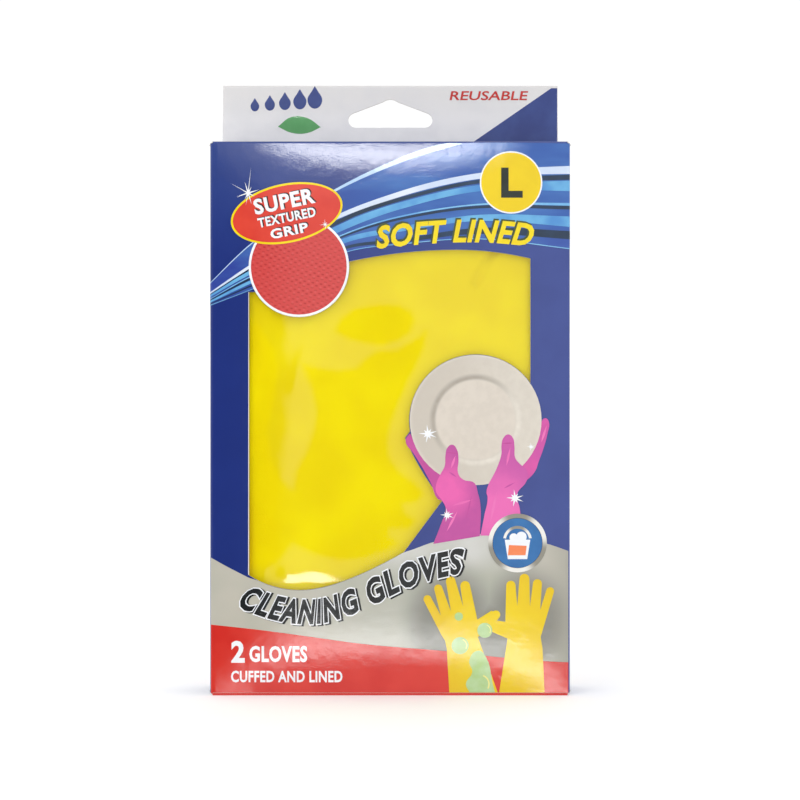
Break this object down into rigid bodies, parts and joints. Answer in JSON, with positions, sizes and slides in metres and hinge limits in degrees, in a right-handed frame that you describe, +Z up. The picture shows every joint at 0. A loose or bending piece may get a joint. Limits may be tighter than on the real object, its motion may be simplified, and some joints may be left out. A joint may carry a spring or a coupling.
{
  "type": "boxed pair of household rubber gloves",
  "caption": "Hang-tab window carton with tuck closures at top and bottom, holding a folded pair of nitrile household gloves.",
  "frame": {"origin": "middle of the carton's base, on the surface that it stands on", "axes": "+Z up towards the hang tab, the printed front with the window faces -Y, +X to the right seen from the front"},
  "size_m": [0.13, 0.025, 0.224],
  "materials": {
    "printed_board": "folding boxboard, printed and gloss varnished",
    "tab_board": "folding boxboard, pale print, gloss varnished",
    "plain_board": "unprinted side of folding boxboard",
    "clear_film": "clear window film",
    "nitrile_rubber": "dipped yellow nitrile, satin, flock lined"
  },
  "bodies": {
    "carton": {"front_panel": "printed_board", "left_side_panel": "printed_board", "right_side_panel": "printed_board", "back_panel": "printed_board", "glue_flap": "plain_board", "hang_tab_front_layer": "tab_board", "hang_tab_fold": "tab_board", "window_film": "clear_film"},
    "top_lid": {"top_lid": "printed_board"},
    "top_tuck_lip": {"top_tuck_lip": "printed_board"},
    "top_left_dust_flap": {"top_left_dust_flap": "plain_board"},
    "top_right_dust_flap": {"top_right_dust_flap": "plain_board"},
    "bottom_lid": {"bottom_lid": "printed_board"},
    "bottom_tuck_lip": {"bottom_tuck_lip": "printed_board"},
    "bottom_left_dust_flap": {"bottom_left_dust_flap": "plain_board"},
    "bottom_right_dust_flap": {"bottom_right_dust_flap": "plain_board"},
    "left_glove": {"left_glove": "nitrile_rubber"},
    "right_glove": {"right_glove": "nitrile_rubber"}
  },
  "joints": [
    {"name": "top_lid_crease", "type": "hinge", "parent": "carton", "child": "top_lid", "pos_m": [0, -0.01225, 0.19975], "axis": [1, 0, 0], "range_deg": [0, 150]},
    {"name": "top_tuck_crease", "type": "hinge", "parent": "top_lid", "child": "top_tuck_lip", "pos_m": [0, 0.0104, 0.1993], "axis": [1, 0, 0], "range_deg": [-60, 0]},
    {"name": "top_left_flap_crease", "type": "hinge", "parent": "carton", "child": "top_left_dust_flap", "pos_m": [-0.06475, 0, 0.19895], "axis": [0, -1, 0], "range_deg": [0, 75]},
    {"name": "top_right_flap_crease", "type": "hinge", "parent": "carton", "child": "top_right_dust_flap", "pos_m": [0.06475, 0, 0.19895], "axis": [0, 1, 0], "range_deg": [0, 75]},
    {"name": "bottom_lid_crease", "type": "hinge", "parent": "carton", "child": "bottom_lid", "pos_m": [0, -0.01225, 0.00025], "axis": [-1, 0, 0], "range_deg": [0, 150]},
    {"name": "bottom_tuck_crease", "type": "hinge", "parent": "bottom_lid", "child": "bottom_tuck_lip", "pos_m": [0, 0.0104, 0.0007], "axis": [-1, 0, 0], "range_deg": [-60, 0]},
    {"name": "bottom_left_flap_crease", "type": "hinge", "parent": "carton", "child": "bottom_left_dust_flap", "pos_m": [-0.06475, 0, 0.00105], "axis": [0, 1, 0], "range_deg": [0, 75]},
    {"name": "bottom_right_flap_crease", "type": "hinge", "parent": "carton", "child": "bottom_right_dust_flap", "pos_m": [0.06475, 0, 0.00105], "axis": [0, -1, 0], "range_deg": [0, 75]},
    {"name": "left_glove_slide", "type": "slide", "parent": "carton", "child": "left_glove", "axis": [0, 0, 1], "range_m": [0, 0.012]},
    {"name": "right_glove_slide", "type": "slide", "parent": "carton", "child": "right_glove", "axis": [0, 0, 1], "range_m": [0, 0.012]}
  ],
  "couplings": [
    {"joint": "top_tuck_crease", "follows": "top_lid_crease", "ratio": -0.4},
    {"joint": "top_left_flap_crease", "follows": "top_lid_crease", "ratio": 0.5},
    {"joint": "top_right_flap_crease", "follows": "top_lid_crease", "ratio": 0.5},
    {"joint": "bottom_tuck_crease", "follows": "bottom_lid_crease", "ratio": -0.4},
    {"joint": "bottom_left_flap_crease", "follows": "bottom_lid_crease", "ratio": 0.5},
    {"joint": "bottom_right_flap_crease", "follows": "bottom_lid_crease", "ratio": 0.5}
  ]
}
